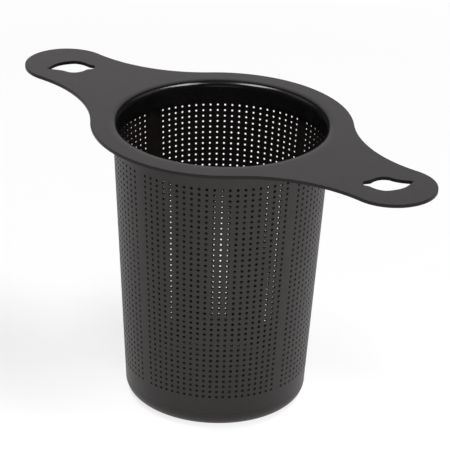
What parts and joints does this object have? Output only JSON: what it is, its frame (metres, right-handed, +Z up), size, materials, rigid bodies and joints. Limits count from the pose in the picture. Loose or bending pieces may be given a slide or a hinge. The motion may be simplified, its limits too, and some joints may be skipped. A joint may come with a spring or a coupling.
{
  "type": "brewing basket strainer",
  "caption": "Tapered perforated metal strainer basket with a flat rim plate and two opposite wing handles that rest on a cup's rim; each wing has a leaf-shaped hang hole.",
  "frame": {"origin": "centre of the base cup's flat underside, on the basket's axis", "axes": "+Z up along the basket's axis, out of its mouth; the two wing handles lie along +X and -X"},
  "size_m": [0.1258, 0.0636, 0.0718],
  "materials": {
    "rim_coating": "satin black coating on stainless steel, smooth and flat",
    "wall_coating": "satin black coating on etched stainless sheet",
    "base_coating": "satin black coating on pressed stainless sheet"
  },
  "bodies": {
    "root": {"rim_plate": "rim_coating", "basket_wall": "wall_coating", "base_cup": "base_coating"}
  },
  "joints": []
}
